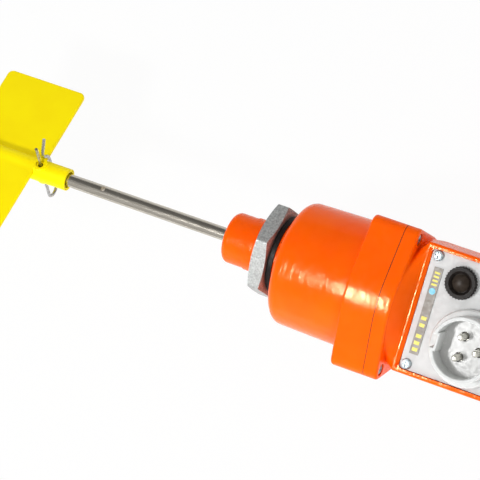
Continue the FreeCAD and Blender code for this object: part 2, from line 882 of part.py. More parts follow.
def trough_outline(x, half_top, half_mid, top, corner):
    """A box section with leaning sides, rounded upper corners and a half-round back, as a face across X."""
    bulge = corner * (1 - math.cos(math.pi / 4))

    def bend(side):
        return [V(x, side * half_top, top - corner),
                V(x, side * (half_top - bulge), top - bulge),
                V(x, side * (half_top - corner), top)]

    right = bend(1)
    left = bend(-1)
    back = [V(x, -half_mid, 0), V(x, 0, -half_mid), V(x, half_mid, 0)]
    edges = [Part.makeLine(back[2], right[0]),
             Part.Arc(*right).toShape(),
             Part.makeLine(right[2], left[2]),
             Part.Arc(*reversed(left)).toShape(),
             Part.makeLine(left[0], back[0]),
             Part.Arc(*back).toShape()]
    return Part.Face(Part.Wire(edges))


def panel_screw_places(z):
    """Centres of the panel's corner screws."""
    side = panel_half_width - panel_screw_inset_y
    ends = (panel_start + panel_screw_inset_x, panel_end - panel_screw_inset_x)
    return [V(x, y, z) for x in ends for y in (-side, side)]


def terminal_places(z):
    """Centres of the terminal screws."""
    middle = panel_start + terminal_x_from_edge
    first = middle - terminal_pitch * (terminal_count - 1) / 2
    return [V(first + index * terminal_pitch, 0, z) for index in range(terminal_count)]


def round_outline(x):
    """The neck's circle across X, cut where the box's outline has its corners."""
    def at(angle):
        return around(neck_r, angle, x, drum_offset)

    upper = math.degrees(math.atan2(box_half_top - rim_round, rim_top))
    lower = math.degrees(math.atan2(box_half_top, rim_top - rim_round))
    turns = [90.0, lower, upper, -upper, -lower, -90.0, -270.0]
    return [Part.Arc(at(a), at((a + b) / 2), at(b)).toShape() for a, b in zip(turns, turns[1:])]


def make_neck():
    """The casting's transition from the round flange to the box."""
    start = Part.Wire(round_outline(rear_flange_end))
    end = trough_outline(box_start, box_half_top, box_half_mid, rim_top, rim_round).OuterWire
    return Part.makeLoft([start, end], True, True)


def make_rear_housing():
    """Flange, neck and box of the rear casting, open at the front and under the panel."""
    box = trough_outline(box_start, box_half_top, box_half_mid, rim_top, rim_round)
    box = box.extrude(X * (box_end - box_start))
    end_rims = [e for e in box.Edges
                if abs(e.BoundBox.XMin - box_end) < near and e.BoundBox.ZMin < rim_top - near]
    box = box.makeFillet(box_end_round, end_rims)
    flange = flange_plate(rear_flange_start, rear_flange_end, rear_flange_end)
    casting = box.fuse([make_neck(), flange]).removeSplitter()

    cavity_first = panel_start + panel_ledge
    hollow = trough_outline(cavity_first, cavity_half, cavity_half, rim_top, panel_corner)
    hollow = hollow.extrude(X * (panel_length - 2 * panel_ledge))
    passage = rod(passage_r, rear_flange_start, cavity_first + cut_over, 0, -passage_drop)
    pocket_half = panel_half_width + panel_fit
    pocket_start = panel_start - panel_fit
    pocket = rounded_slab(pocket_start, panel_end + panel_fit, -pocket_half, pocket_half, ledge_top, rim_top,
                          panel_corner + panel_fit)
    side = -panel_half_width
    slope = [V(box_start + rim_crest, side, rim_top), V(pocket_start, side, rim_top),
             V(pocket_start, side, panel_top)]
    bevel = Part.Face(Part.makePolygon(slope + slope[:1])).extrude(Y * 2 * panel_half_width)
    casting = casting.cut([hollow, passage, pocket, bevel])
    boss_end = ledge_top - panel_boss_length
    bosses = [post(panel_boss_r, boss_end, ledge_top, p.x, p.y) for p in panel_screw_places(0)]
    pad_middle = panel_start + terminal_x_from_edge
    pad = slab(pad_middle - terminal_length / 2, pad_middle + terminal_length / 2, -terminal_width / 2,
               terminal_width / 2, -box_half_mid + cut_over, terminal_pad_top)
    casting = casting.fuse(bosses + [pad]).removeSplitter()
    drill = panel_screw_r + touch_gap
    holes = [post(drill, ledge_top - panel_screw_bite, ledge_top, p.x, p.y) for p in panel_screw_places(0)]
    seat_r = flange_screw_head_r + moving_gap
    for place in ear_places(0):
        holes.append(rod(flange_screw_r + touch_gap, rear_flange_start, flange_seat, place.y, place.z))
        holes.append(rod(seat_r, flange_seat, rear_flange_end + screw_pocket_reach, place.y, place.z))
    return casting.cut(holes).removeSplitter()


def make_flange_gasket():
    """Sheet gasket between the two castings."""
    sheet = flange_plate(parting, rear_flange_start)
    holes = [rod(cavity_r, parting, rear_flange_start, drum_offset)]
    holes += [rod(flange_screw_r + touch_gap, parting, rear_flange_start, p.y, p.z) for p in ear_places(0)]
    return sheet.cut(holes)


def make_flange_screws():
    """Pan screws sunk in the rear flange's ears, into the front casting."""
    length = flange_seat - parting + flange_screw_bite - thread_runout
    screw = pan_screw(flange_screw_r, flange_screw_head_r, flange_screw_head_height, length, True)
    return Part.makeCompound([along_x(screw, p) for p in ear_places(flange_seat)])


def make_panel_gasket():
    """Rubber frame under the panel."""
    sheet = rounded_slab(panel_start, panel_end, -panel_half_width, panel_half_width, ledge_top, panel_back,
                         panel_corner)
    opening = rounded_slab(panel_start + panel_ledge, panel_end - panel_ledge, -cavity_half, cavity_half,
                           ledge_top, panel_back, panel_corner)
    frame = sheet.cut(opening)
    pads = [post(panel_boss_r, ledge_top, panel_back, p.x, p.y) for p in panel_screw_places(0)]
    frame = frame.fuse([pad.common(sheet) for pad in pads]).removeSplitter()
    drill = panel_screw_r + touch_gap
    return frame.cut([post(drill, ledge_top, panel_back, p.x, p.y) for p in panel_screw_places(0)])


def make_panel_plate():
    """Flat cover with holes for the inlet, the button and its screws."""
    plate = rounded_slab(panel_start, panel_end, -panel_half_width, panel_half_width, panel_back, panel_top,
                         panel_corner)
    rim = [e for e in plate.Edges if abs(e.BoundBox.ZMin - panel_top) < near]
    plate = plate.makeFillet(panel_edge_break, rim)
    drill = panel_screw_r + touch_gap
    holes = [post(drill, panel_back, panel_top, p.x, p.y) for p in panel_screw_places(0)]
    holes.append(post(inlet_neck_r + touch_gap, panel_back, panel_top, inlet_x, inlet_y))
    holes.append(post(button_thread_r + touch_gap, panel_back, panel_top, button_x, button_y))
    return plate.cut(holes)


def make_panel_screws():
    """Pan screws in the panel's corners."""
    length = panel_thick + panel_gasket_thick + panel_screw_bite - thread_runout
    screw = pan_screw(panel_screw_r, panel_screw_head_r, panel_screw_head_height, length, True)
    placed = []
    for place in panel_screw_places(panel_top):
        copy = screw.copy()
        copy.translate(place)
        placed.append(copy)
    return Part.makeCompound(placed)


def make_label_strip():
    """Thin strip along the panel's edge beside the flange."""
    middle = panel_start + label_from_edge
    return slab(middle - label_width / 2, middle + label_width / 2, -label_length / 2, label_length / 2,
                panel_top, panel_top + label_thick)


def make_inlet_body():
    """Base ring, shroud with a folded-in key and a threaded neck through the panel."""
    centre = V(inlet_x, inlet_y, 0)
    low = inlet_base_bottom - inlet_neck_length
    body = turned([(low, inlet_bore_r), (low, inlet_neck_r), (inlet_base_bottom, inlet_neck_r),
                   (inlet_base_bottom, inlet_base_r), (inlet_base_top - inlet_base_bevel, inlet_base_r),
                   (inlet_base_top, inlet_base_r - inlet_base_bevel), (inlet_base_top, shroud_r),
                   (shroud_top, shroud_r), (shroud_top, inlet_bore_r)], centre, Z)
    key_face = inlet_x - key_face_reach
    half_notch = key_notch_width / 2
    half_key = half_notch + key_wall
    key = slab(inlet_x - shroud_r, key_face + key_wall, inlet_y - half_key, inlet_y + half_key,
               insulator_top, shroud_top)
    key = key.common(post(shroud_r, insulator_top, shroud_top, inlet_x, inlet_y))
    notch = slab(inlet_x - shroud_r - cut_over, key_face, inlet_y - half_notch, inlet_y + half_notch,
                 inlet_base_top, shroud_top)
    body = body.fuse(key).cut(notch).removeSplitter()
    rim = [e for e in body.Edges if abs(e.BoundBox.ZMin - shroud_top) < near]
    return body.makeChamfer(shroud_bevel, rim)


def pin_places(z):
    """Centres of the inlet's contact pins, the first towards +X."""
    centre = V(inlet_x, inlet_y, z)
    turns = [index * 2 * math.pi / pin_count for index in range(pin_count)]
    return [centre + V(math.cos(turn), math.sin(turn), 0) * pin_circle_r for turn in turns]


def make_inlet_insulator():
    """Disc that carries the contact pins, with a well round each."""
    disc = post(inlet_bore_r - touch_gap, insulator_bottom, insulator_top, inlet_x, inlet_y)
    holes = []
    for place in pin_places(0):
        holes.append(post(pin_shoulder_r + touch_gap, insulator_bottom, insulator_top, place.x, place.y))
        holes.append(post(pin_well_r, insulator_top - pin_well_depth, insulator_top, place.x, place.y))
    return disc.cut(holes)


def make_inlet_pins():
    """Round contact pins with blunted tips, each on a thicker shoulder in the insulator."""
    top = insulator_top + pin_stand
    floor = insulator_top - pin_well_depth
    bottom = insulator_bottom - pin_tail
    profile = [(bottom, 0), (bottom, pin_shoulder_r), (floor, pin_shoulder_r), (floor, pin_r),
               (top - pin_tip_side, pin_r), (top - pin_tip_bend, pin_tip_bend_r),
               (top - pin_tip_crown, pin_tip_crown_r), (top, 0)]
    return Part.makeCompound([turned(profile, place, Z) for place in pin_places(0)])


def make_inlet_gasket():
    """Rubber ring between the inlet's base and the panel."""
    outer = inlet_base_r - inlet_gasket_margin
    inner = inlet_neck_r + touch_gap
    return post(outer, panel_top, inlet_base_bottom, inlet_x, inlet_y).cut(
        post(inner, panel_top, inlet_base_bottom, inlet_x, inlet_y))


def make_inlet_ring_nut():
    """Notched ring nut on the inlet's neck, behind the panel."""
    low = panel_back - ring_nut_height
    ring = post(ring_nut_r, low, panel_back, inlet_x, inlet_y)
    ring = ring.cut(post(inlet_neck_r + touch_gap, low, panel_back, inlet_x, inlet_y))
    notches = []
    for index in range(ring_nut_notches):
        notch = slab(ring_nut_r - ring_nut_notch_depth, ring_nut_r + cut_over, -ring_nut_notch / 2,
                     ring_nut_notch / 2, low, panel_back)
        notch.rotate(ORIGIN, Z, (index + 0.5) * 360.0 / ring_nut_notches)
        notch.translate(V(inlet_x, inlet_y, 0))
        notches.append(notch)
    return ring.cut(notches)


def make_button_bezel():
    """Low knurled ring nut that clamps the button's body to the panel."""
    centre = V(button_x, button_y, 0)
    top = panel_top + bezel_height
    lip = top - bezel_lip_height
    bore = button_thread_r + touch_gap
    ring = turned([(panel_top, bore), (panel_top, bezel_r), (top - bezel_bevel, bezel_r),
                   (top, bezel_r - bezel_bevel), (top, bezel_throat_r), (lip + bezel_land, bezel_lip_r),
                   (lip, bezel_lip_r), (lip, bore)], centre, Z)
    corners = []
    for index in range(2 * knurl_count):
        turn = index * math.pi / knurl_count
        reach = bezel_r - knurl_depth * (index % 2)
        corners.append(centre + V(math.cos(turn) * reach, math.sin(turn) * reach, panel_top))
    knurl = Part.Face(Part.makePolygon(corners + corners[:1])).extrude(Z * bezel_height)
    return ring.common(knurl)


def button_levels():
    """Heights of the button's body: top under the bezel's lip, bore floor and bottom."""
    top = panel_top + bezel_height - bezel_lip_height - touch_gap
    bottom = panel_back - button_body_depth
    return top, bottom + button_body_floor, bottom


def make_button_body():
    """Threaded tube with a flange behind the panel and a closed floor."""
    top, floor, bottom = button_levels()
    body = post(button_thread_r, bottom, top, button_x, button_y)
    flange_low = panel_back - button_flange_height
    body = body.fuse(post(button_flange_r, flange_low, panel_back, button_x, button_y))
    return body.removeSplitter().cut(post(button_bore_r, floor, top, button_x, button_y))


def cap_levels():
    """Heights of the cap's skirt: top under the bezel's lip, and bottom."""
    top = button_levels()[0] - moving_gap
    return top, top - cap_skirt_height


def make_button_cap():
    """Domed cap with a skirt that the bezel's lip keeps in."""
    skirt_top, skirt_bottom = cap_levels()
    dome_base = panel_top + bezel_height - cap_dome_sink
    skirt = post(button_bore_r - running_gap, skirt_bottom, skirt_top, button_x, button_y)
    stem = post(cap_dome_r, skirt_top, dome_base, button_x, button_y)
    ball_r = (cap_dome_r ** 2 + cap_dome_rise ** 2) / (2 * cap_dome_rise)
    ball = Part.makeSphere(ball_r, V(button_x, button_y, dome_base + cap_dome_rise - ball_r))
    dome_top = dome_base + cap_dome_rise + cut_over
    dome = ball.common(post(cap_dome_r, dome_base, dome_top, button_x, button_y))
    return skirt.fuse([stem, dome]).removeSplitter()


def make_button_spring():
    """Coil spring under the cap, drawn as its wound outline."""
    low = button_levels()[1] + touch_gap
    high = cap_levels()[1] - touch_gap
    pitch = (high - low) / button_spring_turns
    wall = wound_profile(button_spring_turns, pitch, button_spring_r, button_spring_wire_r)
    return turned([(low + along, radius) for along, radius in wall], V(button_x, button_y, 0), Z)


def make_button_terminals():
    """Two blade terminals under the button's body."""
    bottom = button_levels()[2]
    tabs = []
    for side in (-1, 1):
        middle = button_x + side * button_tab_spacing / 2
        tabs.append(slab(middle - button_tab_thick / 2, middle + button_tab_thick / 2,
                         button_y - button_tab_width / 2, button_y + button_tab_width / 2,
                         bottom - button_tab_length, bottom))
    return Part.makeCompound(tabs)


def make_terminal_block():
    """Terminal block on the box's floor, with a screw and a wire way for each pole."""
    middle = panel_start + terminal_x_from_edge
    top = terminal_pad_top + terminal_height
    block = slab(middle - terminal_length / 2, middle + terminal_length / 2, -terminal_width / 2,
                 terminal_width / 2, terminal_pad_top, top)
    cuts = []
    for place in terminal_places(0):
        cuts.append(post(terminal_screw_r + touch_gap, top - terminal_screw_bite, top, place.x, place.y))
        way = V(place.x, -terminal_width / 2, terminal_pad_top + terminal_way_height)
        cuts.append(Part.makeCylinder(terminal_screw_r, terminal_way_depth, way, Y))
    return block.cut(cuts)


def make_terminal_screws():
    """Clamping screws of the terminal block."""
    screw = pan_screw(terminal_screw_r, terminal_screw_head_r, terminal_screw_head_height,
                      terminal_screw_bite - thread_runout)
    placed = []
    for place in terminal_places(terminal_pad_top + terminal_height):
        copy = screw.copy()
        copy.translate(place)
        placed.append(copy)
    return Part.makeCompound(placed)


def main():
    os.makedirs("parts", exist_ok=True)
    makers = {
        "front_housing": make_front_housing,
        "sealing_ring": make_sealing_ring,
        "lock_nut": make_lock_nut,
        "shaft_seal": make_shaft_seal,
        "front_bushing": make_front_bushing,
        "rear_bushing": make_rear_bushing,
        "shaft": make_shaft,
        "retaining_ring": make_retaining_ring,
        "paddle": make_paddle,
        "spring_clip": make_spring_clip,
        "coupling_sleeve": make_coupling_sleeve,
        "coupling_pin": make_coupling_pin,
        "motor_shaft": make_motor_shaft,
        "bridge_plate": make_bridge_plate,
        "bridge_screws": make_bridge_screws,
        "stop_pins": make_stop_pins,
        "swivel_carrier": make_swivel_carrier,
        "swivel_ring": make_swivel_ring,
        "gearbox_case": make_gearbox_case,
        "motor_can": make_motor_can,
        "motor_screws": make_motor_screws,
        "return_spring": make_return_spring,
        "switch_screws": make_switch_screws,
        "rear_housing": make_rear_housing,
        "flange_gasket": make_flange_gasket,
        "flange_screws": make_flange_screws,
        "panel_gasket": make_panel_gasket,
        "panel_plate": make_panel_plate,
        "panel_screws": make_panel_screws,
        "label_strip": make_label_strip,
        "inlet_body": make_inlet_body,
        "inlet_insulator": make_inlet_insulator,
        "inlet_pins": make_inlet_pins,
        "inlet_gasket": make_inlet_gasket,
        "inlet_ring_nut": make_inlet_ring_nut,
        "button_bezel": make_button_bezel,
        "button_body": make_button_body,
        "button_cap": make_button_cap,
        "button_spring": make_button_spring,
        "button_terminals": make_button_terminals,
        "terminal_block": make_terminal_block,
        "terminal_screws": make_terminal_screws,
    }
    for node, maker in makers.items():
        save(maker(), node)
    for node, angle in switch_angles.items():
        save(make_switch(angle), node)


main()
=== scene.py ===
# %% [markdown]
# A rotary paddle level switch, dressed for a studio picture.
# The solids come from the CAD frame in metres, so each of them is already in its final place.
# What this file adds is the light, the finish of every solid, the thin marks of one label and the wire
# of one small coil spring.

# %% Load the frame
import math

import bmesh
import bpy
from mathutils import Matrix, Vector


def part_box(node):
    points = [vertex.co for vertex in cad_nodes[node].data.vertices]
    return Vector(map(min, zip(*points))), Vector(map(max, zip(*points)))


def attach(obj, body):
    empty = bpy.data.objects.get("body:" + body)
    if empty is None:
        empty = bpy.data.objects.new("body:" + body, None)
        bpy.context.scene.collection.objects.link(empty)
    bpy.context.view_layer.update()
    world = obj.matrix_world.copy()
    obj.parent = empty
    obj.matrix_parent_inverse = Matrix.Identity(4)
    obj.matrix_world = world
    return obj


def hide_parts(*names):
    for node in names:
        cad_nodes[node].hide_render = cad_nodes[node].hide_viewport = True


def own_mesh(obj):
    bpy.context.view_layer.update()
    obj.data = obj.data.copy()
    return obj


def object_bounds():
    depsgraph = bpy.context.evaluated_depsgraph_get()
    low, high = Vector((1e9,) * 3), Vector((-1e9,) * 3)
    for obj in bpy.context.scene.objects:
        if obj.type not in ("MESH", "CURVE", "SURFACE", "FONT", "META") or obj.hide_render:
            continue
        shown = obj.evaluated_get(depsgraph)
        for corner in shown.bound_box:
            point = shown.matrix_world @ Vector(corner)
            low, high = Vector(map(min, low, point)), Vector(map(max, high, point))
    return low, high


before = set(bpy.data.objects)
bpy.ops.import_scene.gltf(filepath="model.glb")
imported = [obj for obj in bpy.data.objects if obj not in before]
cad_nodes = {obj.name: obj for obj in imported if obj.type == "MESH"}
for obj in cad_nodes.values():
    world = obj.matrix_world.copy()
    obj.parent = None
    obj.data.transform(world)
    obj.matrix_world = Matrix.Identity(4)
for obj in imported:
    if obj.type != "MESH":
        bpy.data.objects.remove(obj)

MM = 0.001
cad_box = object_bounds()
print("CAD nodes:", len(cad_nodes), "box:", [tuple(corner) for corner in cad_box])

# %% [markdown]
# The picture was taken with a long lens from above the panel, a little towards the terminal box.
# A camera could be aimed with a constraint, but three angles and two offsets give the same view
# without a helper object, and each of them can be read as a turn of the tripod head.
# The view transform is Standard, so that a colour renders about as it is written.

# %% Camera
yaw = math.radians(19.02)
tilt = math.radians(8.49)
roll = math.radians(16.22)
stand_off = 2.1917
origin_right = 34.40 * MM
origin_up = -11.54 * MM
lens_mm = 225.0
sensor_mm = 36.0
clip_far = 50.0

towards = Vector((math.sin(yaw) * math.cos(tilt), math.sin(tilt), math.cos(yaw) * math.cos(tilt)))
level = Vector((math.cos(yaw), 0.0, -math.sin(yaw)))
above = towards.cross(level)
right = level * math.cos(roll) + above * math.sin(roll)
up = above * math.cos(roll) - level * math.sin(roll)
camera_data = bpy.data.cameras.new("picture_camera")
camera_data.lens = lens_mm
camera_data.sensor_width = sensor_mm
camera_data.clip_end = clip_far
camera = bpy.data.objects.new("picture_camera", camera_data)
bpy.context.scene.collection.objects.link(camera)
turn = Matrix((right, up, towards)).transposed().to_4x4()
camera.matrix_world = Matrix.Translation(towards * stand_off - right * origin_right - up * origin_up) @ turn
bpy.context.scene.camera = camera
bpy.context.scene.view_settings.view_transform = "Standard"
print("camera at", tuple(round(value, 3) for value in camera.location))

# %% [markdown]
# The studio has a wide soft light at the lower left of the picture, a weaker one at the right and a small
# one nearly overhead. They make the lower flank of the drum more yellow than the upper one, and they aren't
# mirrored, as behind a scrim, or they would whiten the paint. The glint across the flange comes from a slim
# strip, long across the sensor, which is only mirrored and lights nothing. One lamp could do both, but then
# the pale panel would burn out before the glint is white.

# %% Lamps
def soft_box(name, direction, distance, size, power, mirrored=False):
    lamp = bpy.data.lights.new(name, "AREA")
    lamp.shape = "ELLIPSE"
    lamp.size, lamp.size_y = size
    lamp.energy = power
    holder = bpy.data.objects.new(name, lamp)
    bpy.context.scene.collection.objects.link(holder)
    way = Vector(direction).normalized()
    holder.location = way * distance
    holder.rotation_mode = "QUATERNION"
    along = (Vector((0, 1, 0)) - way * way.y).normalized()
    holder.rotation_quaternion = Matrix((along.cross(way), along, way)).transposed().to_quaternion()
    holder.visible_camera = False
    holder.visible_glossy = mirrored
    holder.visible_diffuse = not mirrored
    return holder


lamps = [
    soft_box("overhead_box", (-0.22, -0.15, 0.96), distance=0.93, size=(0.13, 0.13), power=3.6),
    soft_box("lower_key", (-0.40, -0.90, 0.20), distance=2.4, size=(2.0, 2.0), power=52.0),
    soft_box("right_fill", (0.80, -0.50, 0.30), distance=2.4, size=(2.0, 2.0), power=18.0),
    soft_box("glint_strip", (-0.195, -0.15, 0.96), distance=0.93, size=(0.04, 0.36), power=8.0,
             mirrored=True),
]
print("lamps:", [(lamp.name, lamp.data.energy) for lamp in lamps])

# %% [markdown]
# The rest of the light comes from all round, as in a white tent. The world is dimmer as a lamp than it
# looks: the camera sees plain white, while the light on the object stays moderate, so that pale pieces
# keep their shading. What metal mirrors runs from dark above the picture to light below it, which gives
# the round shaft its dark and its light stripe. The light path node tells these rays apart.

# %% World
ambient_strength = 0.87
mirror_dark = 0.2
mirror_light = 0.74
mirror_upper = 0.6
mirror_lower = -0.6
world = bpy.data.worlds.new("studio_world")
bpy.context.scene.world = world
world.use_nodes = True
world_tree = world.node_tree
world_tree.nodes.clear()
ambient = world_tree.nodes.new("ShaderNodeBackground")
ambient.inputs["Strength"].default_value = ambient_strength
mirrored = world_tree.nodes.new("ShaderNodeBackground")
heading = world_tree.nodes.new("ShaderNodeTexCoord")
parts = world_tree.nodes.new("ShaderNodeSeparateXYZ")
sweep = world_tree.nodes.new("ShaderNodeMapRange")
sweep.inputs["From Min"].default_value = mirror_lower
sweep.inputs["From Max"].default_value = mirror_upper
sweep.inputs["To Min"].default_value = mirror_light
sweep.inputs["To Max"].default_value = mirror_dark
world_tree.links.new(heading.outputs["Generated"], parts.inputs["Vector"])
world_tree.links.new(parts.outputs["Y"], sweep.inputs["Value"])
world_tree.links.new(sweep.outputs["Result"], mirrored.inputs["Strength"])
white = world_tree.nodes.new("ShaderNodeBackground")
white.inputs["Color"].default_value = (1, 1, 1, 1)
seen = world_tree.nodes.new("ShaderNodeLightPath")
lighting = world_tree.nodes.new("ShaderNodeMixShader")
either = world_tree.nodes.new("ShaderNodeMath")
either.operation = "MAXIMUM"
blend = world_tree.nodes.new("ShaderNodeMixShader")
surface = world_tree.nodes.new("ShaderNodeOutputWorld")
world_tree.links.new(seen.outputs["Is Camera Ray"], either.inputs[0])
world_tree.links.new(seen.outputs["Is Transmission Ray"], either.inputs[1])
world_tree.links.new(seen.outputs["Is Glossy Ray"], lighting.inputs[0])
world_tree.links.new(ambient.outputs[0], lighting.inputs[1])
world_tree.links.new(mirrored.outputs[0], lighting.inputs[2])
world_tree.links.new(either.outputs[0], blend.inputs[0])
world_tree.links.new(lighting.outputs[0], blend.inputs[1])
world_tree.links.new(white.outputs[0], blend.inputs[2])
world_tree.links.new(blend.outputs[0], surface.inputs["Surface"])
print("world light:", ambient_strength, "mirrored:", mirror_dark, "to", mirror_light)

# %% [markdown]
# The floor is a pale table well under the sensor, so that the shadow on it stays soft and faint.
# Part of its brightness is its own towards the camera, as on a light table. A shadow catcher would leave
# a hole in the picture, and a plain table can also be looked at from the side.

# %% Floor
floor_drop = 110.0 * MM
floor_half = 4.0
floor_cells = 8
table_glow = 0.92
table_grey = (0.72, 0.72, 0.72)
table_roughness = 0.8

floor_level = cad_box[0].z - floor_drop
floor_mesh = bpy.data.meshes.new("studio_floor")
shape = bmesh.new()
bmesh.ops.create_grid(shape, x_segments=floor_cells, y_segments=floor_cells, size=floor_half)
bmesh.ops.translate(shape, verts=shape.verts, vec=(0, 0, floor_level))
shape.to_mesh(floor_mesh)
shape.free()
floor = bpy.data.objects.new("studio_floor", floor_mesh)
bpy.context.scene.collection.objects.link(floor)
floor_finish = bpy.data.materials.new("pale_table")
floor_finish.use_nodes = True
floor_tree = floor_finish.node_tree
table_shader = floor_tree.nodes["Principled BSDF"]
table_shader.inputs["Base Color"].default_value = (*table_grey, 1)
table_shader.inputs["Roughness"].default_value = table_roughness
table_seen = floor_tree.nodes.new("ShaderNodeLightPath")
table_part = floor_tree.nodes.new("ShaderNodeMath")
table_part.operation = "MULTIPLY"
table_part.inputs[1].default_value = table_glow
table_white = floor_tree.nodes.new("ShaderNodeEmission")
table_mix = floor_tree.nodes.new("ShaderNodeMixShader")
floor_tree.links.new(table_seen.outputs["Is Camera Ray"], table_part.inputs[0])
floor_tree.links.new(table_part.outputs[0], table_mix.inputs[0])
floor_tree.links.new(table_shader.outputs[0], table_mix.inputs[1])
floor_tree.links.new(table_white.outputs[0], table_mix.inputs[2])
floor_tree.links.new(table_mix.outputs[0], floor_tree.nodes["Material Output"].inputs["Surface"])
floor.data.materials.append(floor_finish)
print("floor at", round(floor_level, 4))

# %% [markdown]
# Every finish starts from one principled shader, and noise on the object's own coordinates breaks it up.
# Photographs could do that too, but noise has no seams and works at any distance. The coordinates are
# metres, so a grain can be given in millimetres, and a stretch along X makes drawn streaks.

# %% Noise in millimetres
def new_finish(name, colour, roughness, metallic=0.0, sheen=0.5, tint=(1.0, 1.0, 1.0)):
    finish = bpy.data.materials.new(name)
    finish.use_nodes = True
    shader = finish.node_tree.nodes["Principled BSDF"]
    shader.inputs["Base Color"].default_value = (*colour, 1)
    shader.inputs["Roughness"].default_value = roughness
    shader.inputs["Metallic"].default_value = metallic
    shader.inputs["Specular IOR Level"].default_value = sheen
    shader.inputs["Specular Tint"].default_value = (*tint, 1)
    return finish


def noise(finish, grain_mm, detail, stretch):
    tree = finish.node_tree
    place = tree.nodes.new("ShaderNodeTexCoord")
    mapping = tree.nodes.new("ShaderNodeMapping")
    mapping.inputs["Scale"].default_value = stretch
    texture = tree.nodes.new("ShaderNodeTexNoise")
    texture.inputs["Scale"].default_value = 1.0 / (grain_mm * MM)
    texture.inputs["Detail"].default_value = detail
    tree.links.new(place.outputs["Object"], mapping.inputs["Vector"])
    tree.links.new(mapping.outputs["Vector"], texture.inputs["Vector"])
    return texture.outputs["Fac"]


EVEN = (1.0, 1.0, 1.0)
LOW = 0.35
HIGH = 0.65
print("noise runs from", LOW, "to", HIGH)

# %% [markdown]
# Three small helpers put that noise to work: mottle varies the colour between a dark and a light one,
# gloss varies the roughness, and relief bumps the surface by a height in millimetres. Several reliefs
# can be stacked, because each passes on the normal of the one before. Dress then gives the finish to nodes.

# %% Mottle, gloss, relief and dress
def mottle(finish, grain_mm, dark, light, detail=3.0, stretch=EVEN):
    tree = finish.node_tree
    ramp = tree.nodes.new("ShaderNodeValToRGB")
    ramp.color_ramp.elements[0].position = LOW
    ramp.color_ramp.elements[1].position = HIGH
    ramp.color_ramp.elements[0].color = (*dark, 1)
    ramp.color_ramp.elements[1].color = (*light, 1)
    tree.links.new(noise(finish, grain_mm, detail, stretch), ramp.inputs["Fac"])
    tree.links.new(ramp.outputs["Color"], tree.nodes["Principled BSDF"].inputs["Base Color"])


def gloss(finish, grain_mm, smooth, rough, detail=3.0, stretch=EVEN):
    tree = finish.node_tree
    spread = tree.nodes.new("ShaderNodeMapRange")
    spread.inputs["From Min"].default_value = LOW
    spread.inputs["From Max"].default_value = HIGH
    spread.inputs["To Min"].default_value = smooth
    spread.inputs["To Max"].default_value = rough
    tree.links.new(noise(finish, grain_mm, detail, stretch), spread.inputs["Value"])
    tree.links.new(spread.outputs["Result"], tree.nodes["Principled BSDF"].inputs["Roughness"])


def relief(finish, grain_mm, height_mm, detail=2.0, stretch=EVEN):
    tree = finish.node_tree
    shader = tree.nodes["Principled BSDF"]
    bump = tree.nodes.new("ShaderNodeBump")
    bump.inputs["Distance"].default_value = height_mm * MM
    tree.links.new(noise(finish, grain_mm, detail, stretch), bump.inputs["Height"])
    earlier = shader.inputs["Normal"].links
    if earlier:
        tree.links.new(earlier[0].from_socket, bump.inputs["Normal"])
    tree.links.new(bump.outputs["Normal"], shader.inputs["Normal"])


def dress(finish, *names):
    for name in names:
        mesh = cad_nodes[name].data
        mesh.materials.clear()
        mesh.materials.append(finish)
    print(finish.name, "on", ", ".join(names))


print("a finish can vary its colour, its roughness and its relief")

# %% [markdown]
# Three small pieces are made here and not in CAD. They are all fixed to the housing, so one helper builds
# the mesh from the bmesh steps that it is given, turns the normals outwards and hands it to its body.

# %% New pieces on the housing
def new_piece(name, finish, build):
    shape = bmesh.new()
    build(shape)
    bmesh.ops.recalc_face_normals(shape, faces=shape.faces)
    mesh = bpy.data.meshes.new(name)
    shape.to_mesh(mesh)
    shape.free()
    mesh.materials.append(finish)
    piece = bpy.data.objects.new(name, mesh)
    bpy.context.scene.collection.objects.link(piece)
    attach(piece, "housing")
    print(name, len(mesh.polygons), "faces")
    return piece


print("new pieces ride on the housing")

# %% [markdown]
# Both castings wear one thick coat of glossy orange enamel. Paint over a turned casting is never even: it
# has fine waves that run round the drum, longer ones all over and a small drift of the colour. The fine
# waves break the glint on the crown into streaks. A clear coat layer would add a second highlight, which
# the photograph doesn't show, so the paint is a single layer.

# %% Orange enamel
ROUND = (1.0, 0.2, 0.2)
orange_enamel = new_finish("orange_enamel", colour=(0.98, 0.108, 0.0), roughness=0.18, sheen=0.22,
                           tint=(1.0, 0.95, 0.55))
mottle(orange_enamel, grain_mm=30.0, dark=(0.97, 0.10, 0.0), light=(0.99, 0.116, 0.0))
gloss(orange_enamel, grain_mm=6.0, smooth=0.12, rough=0.24)
relief(orange_enamel, grain_mm=3.2, height_mm=0.2, detail=2.0, stretch=ROUND)
relief(orange_enamel, grain_mm=10.0, height_mm=0.25)
dress(orange_enamel, "front_housing", "rear_housing")

# %% [markdown]
# The paddle is a yellow moulding with a satin skin. Its grain is finer than paint, and the colour only
# drifts a little where the plastic flowed. Subsurface light would soften it more, but at this size the
# blades are too thick for that to show.

# %% Yellow paddle plastic
yellow_plastic = new_finish("yellow_plastic", colour=(1.0, 0.80, 0.0), roughness=0.45, sheen=0.2,
                            tint=(1.0, 0.9, 0.3))
mottle(yellow_plastic, grain_mm=25.0, dark=(0.98, 0.78, 0.0), light=(1.0, 0.82, 0.0))
gloss(yellow_plastic, grain_mm=4.0, smooth=0.4, rough=0.52)
relief(yellow_plastic, grain_mm=0.7, height_mm=0.012)
dress(yellow_plastic, "paddle")

# %% [markdown]
# The shaft is drawn stainless steel: bright, a little warm, with fine lines along its length. Anisotropic
# shading needs tangents, and streaked noise gives the same lines without them, so the noise is squeezed
# along X.

